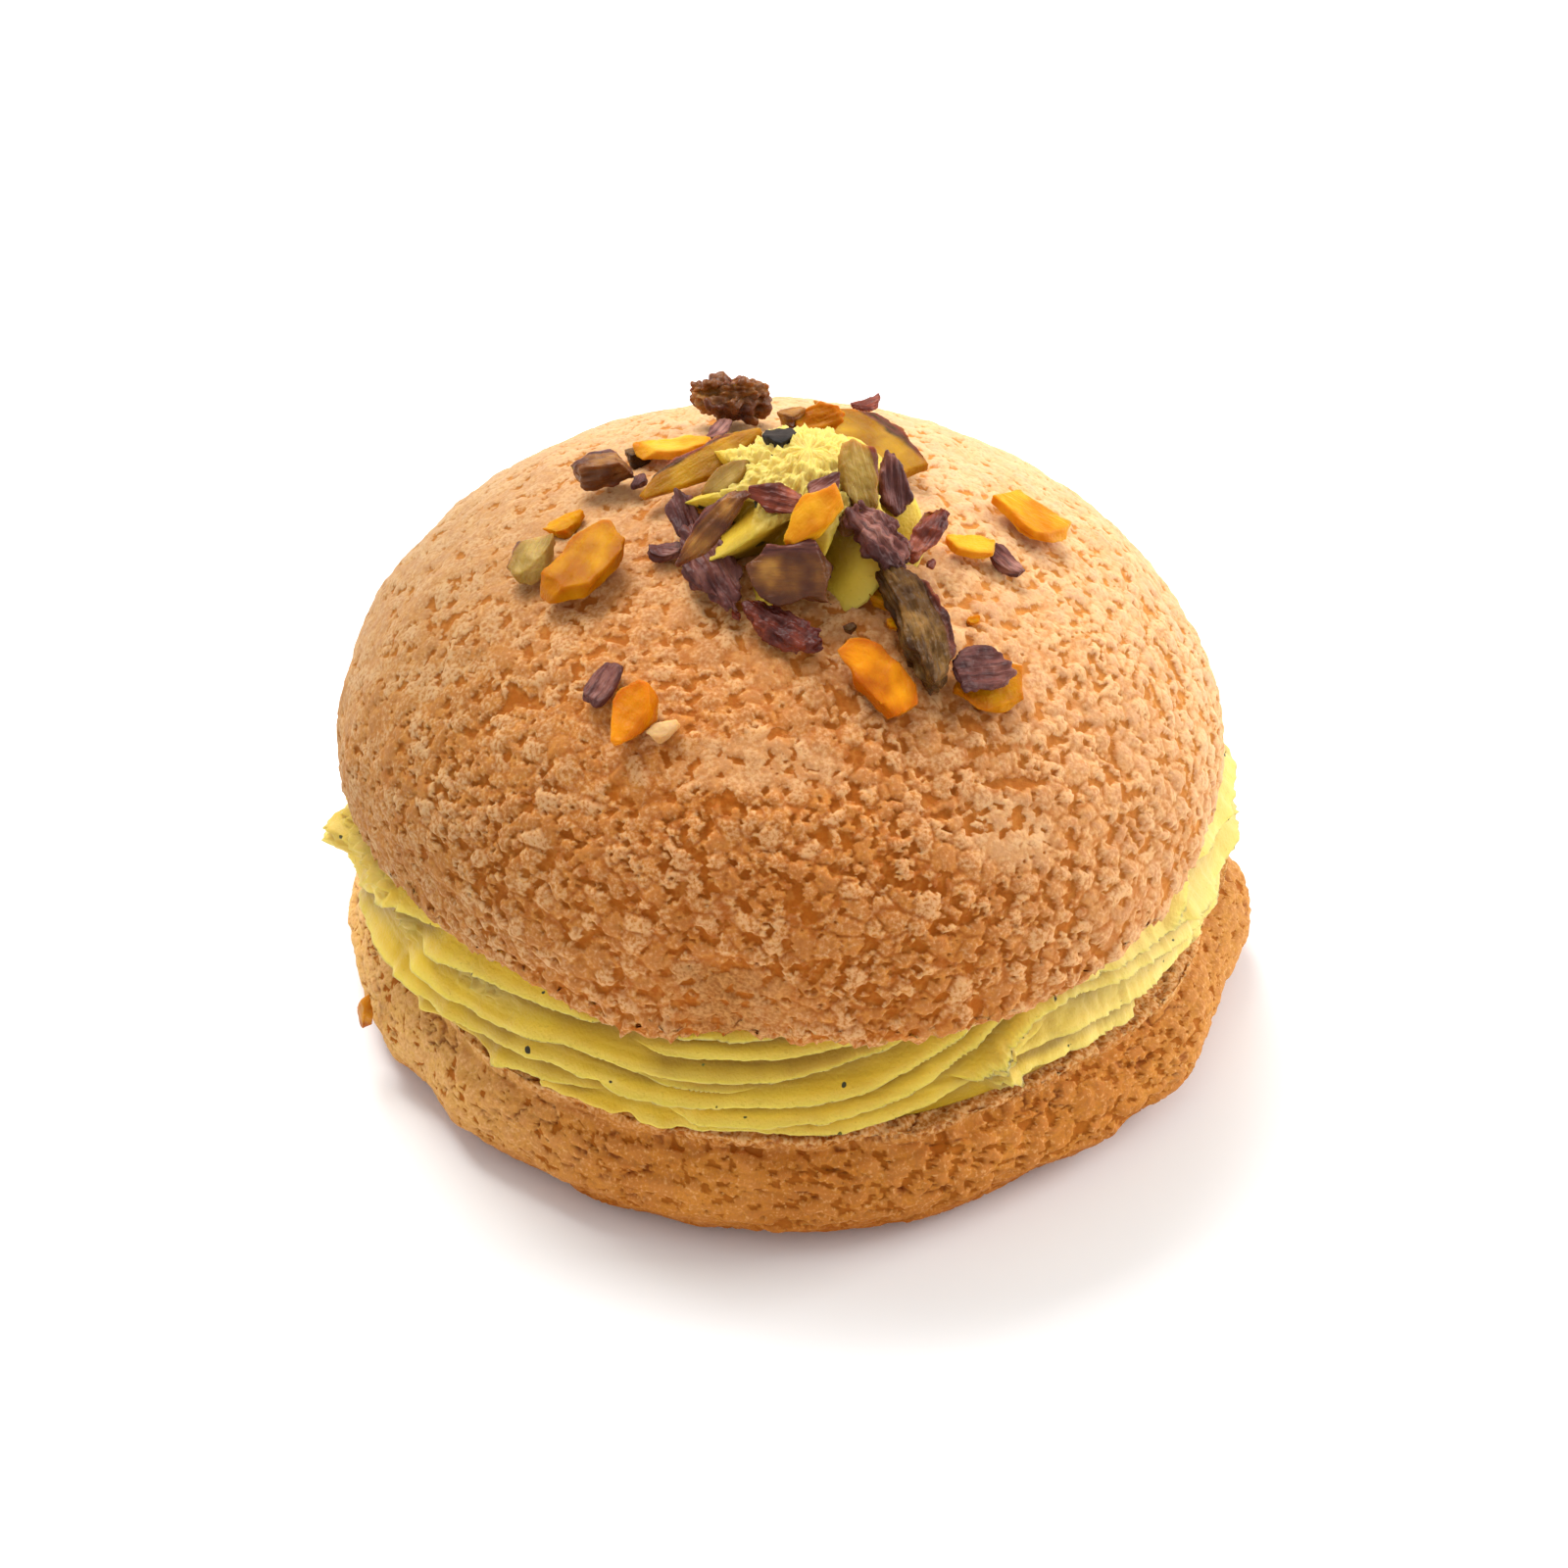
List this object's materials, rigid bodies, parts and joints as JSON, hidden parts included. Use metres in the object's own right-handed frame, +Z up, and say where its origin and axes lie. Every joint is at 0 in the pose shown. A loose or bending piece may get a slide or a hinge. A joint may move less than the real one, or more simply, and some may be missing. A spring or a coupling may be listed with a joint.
{
  "type": "cream puff",
  "caption": "Round filled choux bun with a crackled crown, a ridged layer of piped cream, and a piped rosette with chopped nuts on top.",
  "frame": {"origin": "middle of the flat underside that the puff rests on", "axes": "+Z up through the crown; -Y towards the front, the side seen in the picture; +X to the right of that view"},
  "size_m": [0.0843, 0.0813, 0.0626],
  "materials": {
    "crust": "baked crackled biscuit layer, matt with fine sugar grain",
    "base_crust": "baked choux crust, matt",
    "cream": "soft satin pistachio cream",
    "gold_nut": "translucent cut kernel, satin",
    "olive_nut": "wrinkled kernel, satin",
    "nut_skin": "dry papery skin"
  },
  "bodies": {
    "root": {"base_shell": "base_crust", "cream_layer": "cream", "top_shell": "crust", "cream_rosette": "cream", "chunk_brown_back": "nut_skin", "kernel_dark_left": "nut_skin", "flake_gold_back": "gold_nut", "slice_gold_left": "gold_nut", "chip_olive_left": "olive_nut", "skin_bit_front": "nut_skin", "chip_gold_front": "gold_nut", "flake_red_front": "nut_skin", "slice_orange_front": "gold_nut", "kernel_olive_front": "olive_nut", "slice_gold_low": "gold_nut", "skin_cap_low": "nut_skin", "flake_gold_right": "gold_nut", "slice_gold_right": "gold_nut", "slice_gold_long": "gold_nut", "slice_gold_behind": "gold_nut", "chip_pale_right": "olive_nut", "skin_shard_right": "nut_skin", "kernel_orange_front": "gold_nut", "chip_brown_front": "olive_nut", "skin_knot_right": "nut_skin", "skin_strip_right": "nut_skin", "skin_striped_left": "nut_skin", "shard_olive_left": "olive_nut", "chip_olive_top": "olive_nut", "skin_husk_left": "nut_skin", "sliver_gold_base": "gold_nut"}
  },
  "joints": []
}
